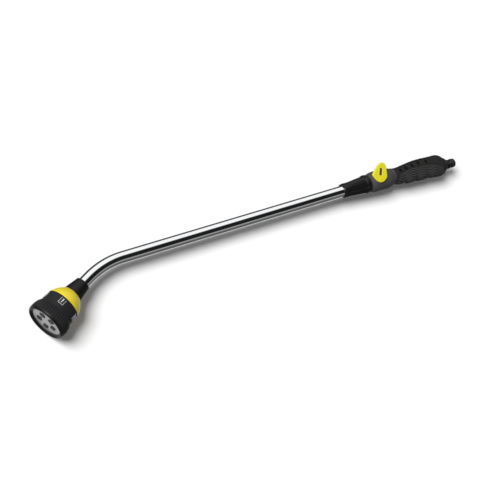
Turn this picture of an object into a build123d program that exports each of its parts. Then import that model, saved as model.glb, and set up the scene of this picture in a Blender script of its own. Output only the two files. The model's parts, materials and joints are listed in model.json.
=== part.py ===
from build123d import *
from math import cos, sin, radians
import os

# Watering wand, in millimetres. It lies on its side.
# X runs along the straight tube, towards the hose. Y is the lever's side of the
# wand, and the spray head bends towards -Y. Z is up from the surface it lies on.
# Parts are drawn about the tube's axis, with X = 0 at the ferrule's tube end, and
# are shifted at the end so that the origin is the middle of the lowest face.

# driving dimensions
TUBE_R = 10.0              # outer radius of the chrome tube
TUBE_WALL = 1.0
STRAIGHT = 445.0           # ferrule face to the start of the bend
BEND_R = 150.0             # centreline radius of the bend
BEND = 27.0                # degrees
HEAD_R = 34.5              # ribbed front of the selector ring
HEAD_END = 106.0           # front lip, measured from the end of the bend
BAND_R = 30.0              # smooth band behind the ribs
BODY_R = 18.3              # widest part of the valve body
GRIP_START, GRIP_END = 113.3, 226.0
SPIGOT_TIP = 254.0
SPIGOT_Y = -8.0            # the hose axis sits below the tube axis
NOSE_R = 8.0               # sealing nose of the hose spigot
SPRAYS = 5                 # spray patterns
SPRAY_R = 14.5             # circle on which the spray windows lie
SPRAY_TURN = 9.0           # first window, from the bend's inner side, degrees
ICON_TURN = 38.0           # first icon, from the same side
LEVER_X = 72.0             # lever pivot, on the tube axis
LEVER_LEAN = 18.0          # the closed lever leans back by this, degrees

# fits and small values
RUN = 0.05                 # radial clearance of a running fit
GAP = 0.3                  # between bodies that pass without touching

# stations along the head's axis, from the end of the bend
COLLAR_TOP, COLLAR_END = 13.0, 37.0
COLLAR_BORE = 12.4
CONE_END = 61.0
PORT_FACE = 58.0           # fixed face that the turret turns against
DISC_END = 66.0
DISC_R = 25.9
HUB_END = 75.9
RIB_START = 84.0
PLATE_BACK, PLATE_FRONT = 99.0, 101.5
CONE_SMALL_R, CONE_LARGE_R, CONE_WALL = 16.5, 29.4, 1.6
CONE_MID_R, CONE_MID = 25.3, 49.3
FLANGE_R = 25.4            # head body under the cone
POST_R = 4.0
SCREW_R = 1.75
CHAMBER_R, CHAMBER_BORE = 6.0, 4.8
SEAL_R = 6.0

# stations along the handle
FERRULE_END = 56.5
NECK_START = 24.0
NUT_BORE = 12.2            # ferrule nut over the housing's neck
SOCKET_END = 42.0
CHAMBER_START, CHAMBER_END = 62.0, 113.0
BALL_R, BALL_BORE = 10.0, 5.0
SPINDLE_R = 3.5
LEVER_TRAVEL = 90.0        # degrees from closed to open
LEVER_BACK, LEVER_FACE = BODY_R + GAP, 22.4
CORE_R, CORE_Y = 11.0, -6.0
RING_GROOVES = (12.8, 15.4)  # seal rings on the spindle, from the tube axis

bend = radians(BEND)
BEND_END = Vector(-STRAIGHT - BEND_R * sin(bend), -BEND_R * (1 - cos(bend)), 0)
HEAD_DIR = Vector(-cos(bend), -sin(bend), 0)
HEAD = Plane(origin=BEND_END, x_dir=Vector(sin(bend), -cos(bend), 0), z_dir=HEAD_DIR)
WAND = Plane(origin=(0, 0, 0), x_dir=(0, 1, 0), z_dir=(1, 0, 0))
PIVOT = Plane(origin=(LEVER_X, 0, 0), x_dir=(1, 0, 0), z_dir=(0, 0, 1))


def turned(plane, *points):
    """Solid of revolution about a plane's normal, from (radius, station) points."""
    return plane * revolve(Plane.XZ * make_face(Polyline(*points, close=True)), Axis.Z)


def tube(plane, inner, outer, start, end, x=0.0, y=0.0):
    """Plain ring or, with no inner radius, a rod along a plane's normal."""
    ring = Circle(outer) - Circle(inner) if inner else Circle(outer)
    return plane * (Pos(x, y, start) * extrude(ring, end - start))


def o_ring(plane, inner, section, station):
    """Round-section seal ring lying about a plane's normal."""
    return plane * (Pos(0, 0, station) * Torus(inner + section / 2, section / 2))


def around(first=SPRAY_TURN):
    """Evenly spaced angles about the head's axis, one for each spray pattern."""
    return [first + 360.0 / SPRAYS * i for i in range(SPRAYS)]


def at_spray(angle, shape):
    """Turn a shape drawn on the first spray axis to another one, in head space."""
    return HEAD * (Rot(0, 0, angle) * (Pos(SPRAY_R, 0, 0) * shape))


# ---- tube ----------------------------------------------------------------

def make_lance_tube():
    section = Circle(TUBE_R) - Circle(TUBE_R - TUBE_WALL)
    straight = Plane.YZ.offset(-STRAIGHT) * extrude(section, STRAIGHT + SOCKET_END)
    hinge = Axis((-STRAIGHT, -BEND_R, 0), (0, 0, 1))
    curve = revolve(Plane.YZ.offset(-STRAIGHT) * section, hinge, BEND)
    stub = HEAD * extrude(section, COLLAR_TOP + 21)
    return straight + curve + stub


# ---- fixed part of the head ----------------------------------------------

def make_collar_nut():
    return turned(HEAD, (TUBE_R, COLLAR_TOP), (11.6, COLLAR_TOP), (12.8, COLLAR_TOP + 1.5),
                  (15.4, COLLAR_END - 6), (16.4, COLLAR_END), (COLLAR_BORE, COLLAR_END),
                  (COLLAR_BORE, COLLAR_TOP + 8), (TUBE_R, COLLAR_TOP + 8))


def make_tube_bush():
    return tube(HEAD, TUBE_R, COLLAR_BORE, COLLAR_TOP + 8, COLLAR_TOP + 12)


def make_collar_o_ring():
    return o_ring(HEAD, TUBE_R + 0.02, 2.3, COLLAR_TOP + 14)


def make_head_body():
    neck = COLLAR_TOP + 16
    body = turned(HEAD, (TUBE_R, neck), (COLLAR_BORE, neck), (COLLAR_BORE, 39), (19, 46), (21.5, 50),
                  (FLANGE_R, 54), (FLANGE_R, PORT_FACE), (POST_R, PORT_FACE), (POST_R, HUB_END + 0.1),
                  (SCREW_R, HUB_END + 0.1), (SCREW_R, DISC_END), (0, DISC_END), (0, 46),
                  (15.5, 46), (11, 40.5), (9, 40), (9, COLLAR_TOP + 21), (TUBE_R, COLLAR_TOP + 21))
    port = Pos(0, 0, 45.8) * extrude(Circle(3.8), 6)
    pocket = Pos(0, 0, 50) * extrude(Circle(SEAL_R), 10)
    body -= at_spray(SPRAY_TURN, port)
    body -= at_spray(SPRAY_TURN, pocket)
    body -= tube(HEAD, FLANGE_R - 1.8, FLANGE_R + 1, 55, 57)
    body -= HEAD * (Rot(0, 0, 180) * (Pos(18, 0, 52) * extrude(Circle(1.6), 8)))
    return body


def make_head_o_ring():
    return tube(HEAD, FLANGE_R - 1.8, FLANGE_R + 0.5, 55.1, 56.9)


def make_head_cone():
    """Bell-shaped shell: two arcs a wall apart, with a straight rim."""
    back, front = COLLAR_END + GAP / 3, CONE_END
    shell = [ThreePointArc((CONE_SMALL_R - wall, back), (CONE_MID_R - wall, CONE_MID),
                           (CONE_LARGE_R - wall, front - 1)) for wall in (0, CONE_WALL)]
    rim = Polyline(shell[0] @ 1, (CONE_LARGE_R, front), (CONE_LARGE_R - CONE_WALL, front), shell[1] @ 1)
    base = Line(shell[0] @ 0, shell[1] @ 0)
    profile = make_face(Wire([*shell[0].edges(), *rim.edges(), *shell[1].edges(), *base.edges()]))
    return HEAD * revolve(Plane.XZ * profile, Axis.Z)


def make_port_seal():
    cup = Pos(0, 0, 54) * extrude(Circle(SEAL_R - 0.05) - Circle(4), PORT_FACE + 0.15 - 54)
    return at_spray(SPRAY_TURN, cup)


def make_seal_spring():
    wire = 0.45
    path = Helix(pitch=1.2, height=2.9, radius=5.4)
    coil = sweep(Plane(origin=path @ 0, z_dir=path % 0) * Circle(wire), path)
    return at_spray(SPRAY_TURN, Pos(0, 0, 50 + wire + 0.1) * coil)


def make_click_ball():
    return HEAD * (Rot(0, 0, 180) * (Pos(18, 0, PORT_FACE - 1.4) * Sphere(1.5)))


def make_click_spring():
    path = Helix(pitch=0.8, height=2.2, radius=1.2)
    coil = sweep(Plane(origin=path @ 0, z_dir=path % 0) * Circle(0.2), path)
    return HEAD * (Rot(0, 0, 180) * (Pos(18, 0, 52.3) * coil))


def make_pivot_washer():
    return tube(HEAD, SCREW_R + 0.15, 6.3, HUB_END + 0.1, HUB_END + 1.1)


def make_pivot_screw():
    head = HUB_END + 1.1
    screw = tube(HEAD, 0, 3.6, head, head + 2.6) + tube(HEAD, 0, SCREW_R, DISC_END + 0.5, head)
    for turn in (0, 90):
        screw -= HEAD * (Rot(0, 0, turn) * (Pos(0, 0, head + 2.6) * Box(4, 0.9, 2.6)))
    return screw


# ---- rotating part of the head -------------------------------------------

def make_turret_disc():
    back = PORT_FACE + GAP
    disc = turned(HEAD, (POST_R + RUN, back), (DISC_R, back), (DISC_R, DISC_END), (6.4, DISC_END),
                  (6.4, HUB_END), (POST_R + RUN, HUB_END))
    for angle in around():
        disc += at_spray(angle, Pos(0, 0, DISC_END - 1) * extrude(Circle(CHAMBER_R), PLATE_BACK - DISC_END + 1))
    for angle in around():
        disc -= at_spray(angle, Pos(0, 0, back - 1) * extrude(Circle(CHAMBER_BORE), PLATE_BACK - back + 2))
    return disc


def make_selector_ring():
    rear = CONE_END + GAP
    return turned(HEAD, (DISC_R, rear), (BAND_R - 0.8, rear), (BAND_R, rear + 1), (BAND_R, RIB_START - 1.5),
                  (33.0, RIB_START + 1), (HEAD_R, RIB_START + 9), (HEAD_R, PLATE_FRONT),
                  (28.5, PLATE_FRONT), (28.5, DISC_END), (DISC_R, DISC_END))


def make_pattern_icons():
    shell = tube(HEAD, BAND_R, BAND_R + 0.4, 62.6, 74.6)
    pad = Pos(BAND_R, 0, 68.6) * Box(8, 13, 12)
    pads = [shell & (HEAD * (Rot(0, 0, angle) * pad)) for angle in around(ICON_TURN)]
    return Compound(children=[solid for pad in pads for solid in pad.solids()])


def make_face_plate():
    plate = tube(HEAD, 0, 28.5, PLATE_BACK, PLATE_FRONT)
    for angle in around():
        plate -= at_spray(angle, Pos(0, 0, PLATE_BACK - 1) * extrude(Circle(CHAMBER_BORE), 5))
    return plate


def make_face_bezel():
    front = HEAD_END
    side = Polyline((29.4, front - 2.2), (27.0, PLATE_FRONT), (HEAD_R - 0.1, PLATE_FRONT), (33.4, front - 2.2))
    lip = ThreePointArc((33.4, front - 2.2), (31.4, front), (29.4, front - 2.2))
    return HEAD * revolve(Plane.XZ * make_face(Wire([*side.edges(), *lip.edges()])), Axis.Z)


def spray_insert(angle, *holes):
    """Plug in one chamber, with the openings that shape its spray."""
    back, front = PLATE_BACK - 5, PLATE_FRONT + 0.7
    plug = Pos(0, 0, back) * extrude(Circle(CHAMBER_BORE - 0.03), front - back)
    plug -= Pos(0, 0, back) * extrude(Circle(3.6), 5.2)
    for hole in holes:
        plug -= Pos(0, 0, back) * extrude(hole, front - back)
    return at_spray(angle, plug)


def make_jet_insert():
    return spray_insert(around()[0], Circle(1.6))


def make_cone_insert():
    slots = Circle(2.9) - Circle(1.8) - Rectangle(7, 0.9) - Rectangle(0.9, 7)
    return spray_insert(around()[1], slots)


def make_mist_insert():
    return spray_insert(around()[2], *[Rot(0, 0, 120 * i) * (Pos(1.9, 0) * Circle(0.5)) for i in range(3)])


def make_flat_insert():
    return spray_insert(around()[3], Rectangle(1.3, 6.4))


def make_shower_insert():
    ring = [Rot(0, 0, 60 * i) * (Pos(2.4, 0) * Circle(0.55)) for i in range(6)]
    return spray_insert(around()[4], Circle(0.55), *ring)


# ---- ferrule and valve ---------------------------------------------------

def make_ferrule_nut():
    end = FERRULE_END
    return turned(WAND, (TUBE_R, 0), (11.4, 0), (12.6, 1.4), (13.1, 12), (15.9, 46), (16.8, 50),
                  (16.8, end), (NUT_BORE, end), (NUT_BORE, 14), (TUBE_R, 14))


def make_clamp_olive():
    return turned(WAND, (TUBE_R, 14), (12.1, 14), (12.1, 18), (10.8, 20.5), (TUBE_R, 20.5))


def make_tube_o_ring():
    return o_ring(WAND, TUBE_R + 0.02, 2.1, 22.2)


def make_valve_housing():
    end, neck_end = CHAMBER_END, FERRULE_END + 0.5
    body = turned(WAND, (TUBE_R, NECK_START), (NUT_BORE, NECK_START), (NUT_BORE, neck_end), (15.6, neck_end),
                  (16.6, neck_end + 3), (BODY_R, 76), (BODY_R, 92), (17.8, 102), (15.2, 109),
                  (14.3, end), (12, end), (12, CHAMBER_START), (8, CHAMBER_START), (8, SOCKET_END),
                  (TUBE_R, SOCKET_END))
    body -= tube(PIVOT, 0, SPINDLE_R + RUN, 5, 25)
    for start in RING_GROOVES:
        body -= tube(PIVOT, 0, 5.2, start, start + 1.5)
    return body


def make_seat_front():
    """Ring seat with a spherical pocket that clears the ball."""
    return tube(WAND, 5, 12, CHAMBER_START, LEVER_X - 4.5) - Pos(LEVER_X, 0, 0) * Sphere(BALL_R + 0.2)


def make_seat_rear():
    return mirror(make_seat_front(), Plane.YZ.offset(LEVER_X))


def make_seat_retainer():
    start = 2 * LEVER_X - CHAMBER_START
    return tube(WAND, 7, 12, start, start + 5)


def make_valve_ball():
    ball = Pos(LEVER_X, 0, 0) * Sphere(BALL_R)
    bore = tube(WAND, 0, BALL_BORE, LEVER_X - 15, LEVER_X + 15)
    ball -= bore.rotate(Axis((LEVER_X, 0, 0), (0, 0, 1)), -LEVER_TRAVEL)
    return ball - tube(PIVOT, 0, SPINDLE_R, 7, 15)


def make_lever_spindle():
    """Spindle from the ball to the lever, drilled for the lever's screw."""
    return tube(PIVOT, 0, SPINDLE_R, 7, LEVER_FACE - 2.2) - tube(PIVOT, 0, 1.4, 12, LEVER_FACE)


def make_spindle_o_rings():
    rings = [tube(PIVOT, SPINDLE_R + RUN, 5.2, start, start + 1.5) for start in RING_GROOVES]
    return Compound(children=rings)


def leaned(shape):
    """Lean an upright lever piece back about the pivot."""
    return shape.rotate(Axis((LEVER_X, 0, 0), (0, 0, 1)), -LEVER_LEAN)


def cheek_outline():
    """Side of the lever: round foot, upright rear edge, sloping front edge, narrow round top."""
    foot = ThreePointArc((-16.6, 5.2), (-2.4, -4.8), (13.2, 4.2))
    rear = Line((13.2, 4.2), (11.4, 25))
    top = ThreePointArc((11.4, 25), (3.4, 30.9), (-5.6, 27))
    slope = Line((-5.6, 27), (-16.8, 9.2))
    toe = ThreePointArc((-16.8, 9.2), (-17.7, 7.1), (-16.6, 5.2))
    return make_face(Wire([*foot.edges(), *rear.edges(), *top.edges(), *slope.edges(), *toe.edges()]))


def make_flow_lever():
    """Paddle on the side of the valve body, screwed to the spindle."""
    lever = PIVOT * (Pos(0, 0, LEVER_BACK) * extrude(cheek_outline(), LEVER_FACE - LEVER_BACK))
    lever -= tube(PIVOT, 0, SPINDLE_R, LEVER_BACK - 1, LEVER_FACE - 2.2)
    lever -= tube(PIVOT, 0, 1.5, LEVER_FACE - 3, LEVER_FACE)
    lever -= tube(PIVOT, 0, 3.2, LEVER_FACE - 1.5, LEVER_FACE)
    lever -= badge_block()
    return leaned(lever)


def badge_block():
    """Recess in the lever's face for the plain inlay."""
    depth = 0.6
    plate = Pos(0.2, 14) * (Rot(0, 0, -8) * RectangleRounded(5.2, 13.5, 1))
    return PIVOT * (Pos(0, 0, LEVER_FACE - depth) * extrude(plate, depth))


def make_lever_badge():
    return leaned(badge_block())


def make_lever_screw():
    head = LEVER_FACE - 1.5
    return tube(PIVOT, 0, 1.4, 12.5, head) + tube(PIVOT, 0, 2.9, head, head + 0.7)


def make_screw_cap():
    return tube(PIVOT, 0, 3.18, LEVER_FACE - 0.75, LEVER_FACE)


# ---- handle --------------------------------------------------------------

def channel():
    """Water way through the handle, from the valve down to the hose axis."""
    start, end = Vector(95, 0, 0), Vector(GRIP_END + 3, SPIGOT_Y, 0)
    way = Plane(origin=start, z_dir=end - start)
    return way * extrude(Circle(5.5), (end - start).length)


def core_envelope():
    front = tube(WAND, 0, 12, 96, CHAMBER_END) + tube(WAND, 0, 11.5, CHAMBER_END, 134)
    return front + tube(WAND, 0, CORE_R, 130, GRIP_END, x=CORE_Y)


def make_handle_core():
    core = core_envelope() - channel()
    core -= tube(WAND, 10.4, 13, 101, 103.4)
    return core - tube(WAND, 0, 8.2, GRIP_END - 12, GRIP_END + 1, x=SPIGOT_Y)


def make_core_o_ring():
    return tube(WAND, 10.4, 12, 101.1, 103.3)


def grip_block():
    """Outer shape of the soft grip: ellipses set along the handle."""
    # station, top, bottom, half width
    sections = [(GRIP_START, 13.8, -14.0, 14.0), (125, 13.2, -17.6, 15.0), (142, 14.8, -20.0, 15.8),
                (170, 16.8, -21.5, 16.0), (200, 15.6, -23.2, 16.0), (217, 14.6, -24.6, 15.8),
                (GRIP_END, 9.6, -21.6, 14.0)]
    rings = [Plane(origin=(x, (top + low) / 2, 0), x_dir=(0, 1, 0), z_dir=(1, 0, 0))
             * Ellipse((top - low) / 2, half) for x, top, low, half in sections]
    return loft(rings)


def pad_prism(side):
    """Arched outline of one side pad, cut through one side of the grip."""
    edge = Spline((114, -30), (120, -5), (152, 4), (184, 2), (206, -4), (220, -30))
    base = Line((220, -30), (114, -30))
    face = make_face(Wire([*edge.edges(), *base.edges()]))
    return Pos(0, 0, 12 if side > 0 else -32) * extrude(face, 20)


def make_grip_sleeve():
    return grip_block() - core_envelope() - pad_prism(1) - pad_prism(-1)


def make_grip_pads():
    pads = [grip_block() & pad_prism(side) for side in (1, -1)]
    return Compound(children=[solid for pad in pads for solid in pad.solids()])


def make_grip_end_ring():
    ring = Plane(origin=(0, SPIGOT_Y + 2, 0), x_dir=(0, 1, 0), z_dir=(1, 0, 0))
    shape = turned(ring, (0, GRIP_END), (13.6, GRIP_END), (12.4, GRIP_END + 4), (9.5, GRIP_END + 8),
                   (0, GRIP_END + 8))
    return shape - tube(WAND, 0, 7.0, GRIP_END - 1, GRIP_END + 9, x=SPIGOT_Y)


def make_hose_spigot():
    start, tip = GRIP_END - 12, SPIGOT_TIP
    spigot = turned(WAND, (6, start), (8.2, start), (8.2, GRIP_END), (7.0, GRIP_END), (7.0, tip - 17),
                    (8.6, tip - 16.4), (8.6, tip - 14), (6.9, tip - 13.2), (6.9, tip - 11),
                    (NOSE_R, tip - 10.2), (NOSE_R, tip - 7.2), (6.8, tip - 7.2), (6.8, tip - 4.8),
                    (NOSE_R, tip - 4.8), (NOSE_R, tip - 1), (7.0, tip), (5.0, tip), (5.0, start + 9),
                    (6, start + 9))
    return Pos(0, SPIGOT_Y, 0) * spigot


def make_spigot_o_ring():
    return Pos(0, SPIGOT_Y, 0) * o_ring(WAND, 6.82, 1.6, SPIGOT_TIP - 6)


def make_inlet_strainer():
    start = GRIP_END - 11.8
    cup = turned(WAND, (4.6, start), (5.95, start), (5.95, start + 8.8), (0, start + 8.8), (0, start + 8),
                 (5.2, start + 8), (5.2, start + 0.8), (4.6, start + 0.8))
    for row in (1.7, 3.6):
        for i in range(6):
            hole = Rot(0, 0, 60 * i) * (Pos(row, 0, start + 7) * extrude(Circle(0.7), 3))
            cup -= WAND * hole
    return Pos(0, SPIGOT_Y, 0) * cup


MAKERS = {
    "lance_tube": make_lance_tube, "collar_nut": make_collar_nut, "tube_bush": make_tube_bush,
    "collar_o_ring": make_collar_o_ring, "head_body": make_head_body, "head_o_ring": make_head_o_ring,
    "head_cone": make_head_cone, "port_seal": make_port_seal, "seal_spring": make_seal_spring,
    "click_ball": make_click_ball, "click_spring": make_click_spring,
    "pivot_washer": make_pivot_washer, "pivot_screw": make_pivot_screw,
    "turret_disc": make_turret_disc, "selector_ring": make_selector_ring,
    "pattern_icons": make_pattern_icons, "face_plate": make_face_plate, "face_bezel": make_face_bezel,
    "jet_insert": make_jet_insert, "cone_insert": make_cone_insert, "mist_insert": make_mist_insert,
    "flat_insert": make_flat_insert, "shower_insert": make_shower_insert,
    "ferrule_nut": make_ferrule_nut, "clamp_olive": make_clamp_olive, "tube_o_ring": make_tube_o_ring,
    "valve_housing": make_valve_housing, "seat_front": make_seat_front, "seat_rear": make_seat_rear,
    "seat_retainer": make_seat_retainer, "valve_ball": make_valve_ball,
    "lever_spindle": make_lever_spindle, "spindle_o_rings": make_spindle_o_rings,
    "flow_lever": make_flow_lever, "lever_badge": make_lever_badge, "lever_screw": make_lever_screw,
    "screw_cap": make_screw_cap,
    "handle_core": make_handle_core, "core_o_ring": make_core_o_ring, "grip_sleeve": make_grip_sleeve,
    "grip_pads": make_grip_pads, "grip_end_ring": make_grip_end_ring, "hose_spigot": make_hose_spigot,
    "spigot_o_ring": make_spigot_o_ring, "inlet_strainer": make_inlet_strainer,
}


def main():
    os.makedirs("parts", exist_ok=True)
    shapes = {name: make() for name, make in MAKERS.items()}
    box = Compound(children=[Compound(s.solids()) for s in shapes.values()]).bounding_box(optimal=True)
    shift = Vector(-(box.min.X + box.max.X) / 2, -(box.min.Y + box.max.Y) / 2, -box.min.Z)
    print("shift", shift, "size", box.size)
    for name, shape in shapes.items():
        export_step(Pos(*shift) * shape, "parts/" + name + ".step")


main()
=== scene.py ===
import json
from functools import lru_cache
from math import atan2, cos, exp, hypot, pi, radians, sin, tau

import bmesh
import bpy
from mathutils import Matrix, Vector


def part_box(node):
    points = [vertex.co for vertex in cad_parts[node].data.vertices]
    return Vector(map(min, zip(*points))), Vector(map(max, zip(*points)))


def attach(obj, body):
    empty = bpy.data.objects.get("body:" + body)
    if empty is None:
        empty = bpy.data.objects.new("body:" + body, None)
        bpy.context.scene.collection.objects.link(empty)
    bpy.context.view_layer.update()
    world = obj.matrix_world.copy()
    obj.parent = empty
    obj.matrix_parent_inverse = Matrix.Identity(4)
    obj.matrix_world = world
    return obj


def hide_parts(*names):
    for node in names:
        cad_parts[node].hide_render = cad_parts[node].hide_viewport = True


bl_info = {
    "name": "Watering wand",
    "version": (1, 0, 0),
    "blender": (4, 5, 0),
    "location": "3D View > Sidebar > Wand",
    "description": "Builds the looks of a watering wand around its packed frame",
    "category": "Add Mesh",
}

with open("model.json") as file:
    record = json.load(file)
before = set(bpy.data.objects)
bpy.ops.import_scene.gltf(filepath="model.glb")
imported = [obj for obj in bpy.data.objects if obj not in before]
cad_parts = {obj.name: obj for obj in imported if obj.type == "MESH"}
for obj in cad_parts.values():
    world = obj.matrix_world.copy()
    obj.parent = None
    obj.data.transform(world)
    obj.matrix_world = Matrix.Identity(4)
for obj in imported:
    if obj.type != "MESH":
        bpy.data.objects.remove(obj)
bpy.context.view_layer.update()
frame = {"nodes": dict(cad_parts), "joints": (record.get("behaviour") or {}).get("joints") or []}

MM = 0.001
JOINTS = {joint["name"]: joint for joint in frame["joints"]}
AXIS_OFFSET = 80 * MM          # from the end of the bend to the selector joint, along the head
LEVER_LEAN = radians(-18)      # the closed lever leans back about its pivot
LEVER_BACK = 18.7 * MM         # the lever's back, just clear of the valve body
HOSE_DROP = -8 * MM            # hose axis below the tube axis
SPRAY_TURN = 9                 # first spray window about the head's axis, degrees
SPRAY_REACH = 14.5             # circle on which the windows lie, in millimetres
MARK_TURN = 38                 # first pattern mark about the head's axis, degrees
BAND_REACH = 30.0              # smooth band that carries the marks, in millimetres
PICTURE_SHIFT = (0.001, -0.0015)


# ---- places ------------------------------------------------------------------

def head_plane():
    """Head space: z runs along the head to the spray face, y is up."""
    joint = JOINTS["pattern_selector"]
    along = Vector(joint["axis"]).normalized()
    side = Vector((-along.y, along.x, 0))
    origin = Vector(joint["pos_m"]) - along * AXIS_OFFSET
    turn = Matrix((side, Vector((0, 0, 1)), along)).transposed()
    return Matrix.Translation(origin) @ turn.to_4x4()


def wand_plane():
    """Wand space: z runs along the tube to the hose, x is the lever's side, y is up."""
    low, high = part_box("ferrule_nut")
    origin = Vector((low.x, (low.y + high.y) / 2, (low.z + high.z) / 2))
    turn = Matrix((Vector((0, 1, 0)), Vector((0, 0, 1)), Vector((1, 0, 0)))).transposed()
    return Matrix.Translation(origin) @ turn.to_4x4()


def lever_plane():
    """Lever space: the pivot is the origin and y runs up the leaned lever."""
    pivot = Vector(JOINTS["flow_lever_turn"]["pos_m"])
    return Matrix.Translation(pivot) @ Matrix.Rotation(LEVER_LEAN, 4, "Z")


HEAD = head_plane()
WAND = wand_plane()
LEVER = lever_plane()
HOSE = WAND @ Matrix.Translation((HOSE_DROP, 0, 0))


# ---- shape tools -------------------------------------------------------------

def softened(points, radius, steps=4):
    """Closed outline in millimetres with every corner rounded, in metres."""
    outline = []
    count = len(points)
    for i, point in enumerate(points):
        corner = Vector(point)
        before = Vector(points[i - 1]) - corner
        after = Vector(points[(i + 1) % count]) - corner
        cut = min(radius, before.length * 0.45, after.length * 0.45)
        start = corner + before.normalized() * cut
        end = corner + after.normalized() * cut
        for k in range(steps + 1):
            t = k / steps
            outline.append((start * (1 - t) ** 2 + corner * (2 * t * (1 - t)) + end * t * t) * MM)
    return outline


def arc(start, middle, end, steps=10):
    """Points of a smooth curve from start to end that passes through middle."""
    a, m, b = Vector(start), Vector(middle), Vector(end)
    control = m * 2 - (a + b) / 2
    return [tuple(a * (1 - t) ** 2 + control * (2 * t * (1 - t)) + b * t * t)
            for t in (k / steps for k in range(steps + 1))]


def turned(profile, plane, steps=96, move=None):
    """Shell spun about a plane's normal from a closed (radius, station) outline."""
    bm = bmesh.new()
    verts = [bm.verts.new((max(r, 0), 0, s)) for r, s in profile]
    edges = [bm.edges.new(pair) for pair in zip(verts, verts[1:] + verts[:1])]
    bmesh.ops.spin(bm, geom=verts + edges, cent=(0, 0, 0), axis=(0, 0, 1), angle=tau,
                   steps=steps, use_merge=True)
    if move:
        for vert in bm.verts:
            reach = hypot(vert.co.x, vert.co.y)
            if reach > 1e-7:
                vert.co = move(reach, atan2(vert.co.y, vert.co.x), vert.co.z)
    return settled(bm, plane)


def settled(bm, plane):
    """Close the seams of a mesh, face it outwards and put it in place."""
    bmesh.ops.remove_doubles(bm, verts=bm.verts, dist=2e-6)
    bmesh.ops.dissolve_degenerate(bm, edges=bm.edges, dist=1e-6)
    bmesh.ops.recalc_face_normals(bm, faces=bm.faces)
    bmesh.ops.transform(bm, matrix=plane, space=Matrix.Identity(4), verts=bm.verts)
    return bm


def rounded_loop(bm, half_x, half_y, height, power=5.0, count=40):
    """Loop of edges around a rounded rectangle."""
    made = bmesh.ops.create_circle(bm, segments=count, radius=1.0)
    for vert in made["verts"]:
        angle = atan2(vert.co.y, vert.co.x)
        c, s = cos(angle), sin(angle)
        stretch = (abs(c) ** power + abs(s) ** power) ** (-1 / power)
        vert.co = Vector((c * stretch * half_x, s * stretch * half_y, height))
    return list({edge for vert in made["verts"] for edge in vert.link_edges})


def stacked(bm, sections, closed, power=5.0):
    """Rounded loops bridged one to the next, as a frame if closed, else capped at both ends."""
    loops = [rounded_loop(bm, *section, power) for section in sections]
    pairs = list(zip(loops, loops[1:]))
    if closed:
        pairs.append((loops[-1], loops[0]))
    for first, second in pairs:
        bmesh.ops.bridge_loops(bm, edges=first + second)
    if not closed:
        bmesh.ops.contextual_create(bm, geom=loops[0])
        bmesh.ops.contextual_create(bm, geom=loops[-1])


def stack_in_mm(bm, sections, power=5.0, closed=False):
    """Stack of rounded loops given in millimetres."""
    stacked(bm, [tuple(value * MM for value in section) for section in sections], closed, power)


def piece(bm, name, body, material, replaces=(), bevel=0.0, crease=40):
    """Turn a finished mesh into an object that rides on a body."""
    mesh = bpy.data.meshes.new(name)
    bm.to_mesh(mesh)
    bm.free()
    mesh.shade_smooth()
    mesh.materials.append(material)
    made = bpy.data.objects.new(name, mesh)
    bpy.context.scene.collection.objects.link(made)
    if bevel:
        rounding = made.modifiers.new("rounding", "BEVEL")
        rounding.width = bevel
        rounding.segments = 4
        rounding.limit_method = "ANGLE"
        rounding.angle_limit = radians(35)
        made.modifiers.new("even_shading", "WEIGHTED_NORMAL")
    else:
        mesh.set_sharp_from_angle(angle=radians(crease))
    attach(made, body)
    if replaces:
        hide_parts(*replaces)
    return made


def smooth_step(low, high, value):
    """0 below low, 1 above high, and a soft ramp between."""
    t = min(max((value - low) / (high - low), 0), 1)
    return t * t * (3 - 2 * t)


# ---- shader groups -----------------------------------------------------------

def new_group(name, inputs, outputs):
    """Empty shader group with named sockets, and its two end nodes."""
    tree = bpy.data.node_groups.new(name, "ShaderNodeTree")
    for label, kind, value in inputs:
        socket = tree.interface.new_socket(name=label, in_out="INPUT", socket_type=kind)
        socket.default_value = value
    for label, kind in outputs:
        tree.interface.new_socket(name=label, in_out="OUTPUT", socket_type=kind)
    return tree, tree.nodes.new("NodeGroupInput"), tree.nodes.new("NodeGroupOutput")


def maths(tree, operation, first, second):
    """Math node fed by sockets or plain numbers."""
    node = tree.nodes.new("ShaderNodeMath")
    node.operation = operation
    for socket, source in zip(node.inputs, (first, second)):
        if isinstance(source, (int, float)):
            socket.default_value = source
        else:
            tree.links.new(source, socket)
    return node.outputs[0]


def noise(tree, scale, detail=4.0, stretch=None):
    """Noise on object coordinates, which may be stretched along an axis."""
    place = tree.nodes.new("ShaderNodeTexCoord").outputs["Object"]
    if stretch:
        mapping = tree.nodes.new("ShaderNodeMapping")
        mapping.inputs["Scale"].default_value = stretch
        tree.links.new(place, mapping.inputs["Vector"])
        place = mapping.outputs["Vector"]
    node = tree.nodes.new("ShaderNodeTexNoise")
    node.inputs["Detail"].default_value = detail
    tree.links.new(place, node.inputs["Vector"])
    if isinstance(scale, (int, float)):
        node.inputs["Scale"].default_value = scale
    else:
        tree.links.new(scale, node.inputs["Scale"])
    return node.outputs["Fac"]


def moulded_grain_group():
    """Fine spark-eroded grain of a moulded part, as a height."""
    tree, inside, outside = new_group(
        "moulded_grain",
        [("Grains per metre", "NodeSocketFloat", 2500.0), ("Depth", "NodeSocketFloat", 1.0)],
        [("Height", "NodeSocketFloat")])
    fine = noise(tree, inside.outputs["Grains per metre"], 2.0)
    broad = noise(tree, 160.0, 2.0)
    mixed = maths(tree, "ADD", fine, maths(tree, "MULTIPLY", broad, 0.5))
    tree.links.new(maths(tree, "MULTIPLY", mixed, inside.outputs["Depth"]), outside.inputs["Height"])
    return tree


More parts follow.
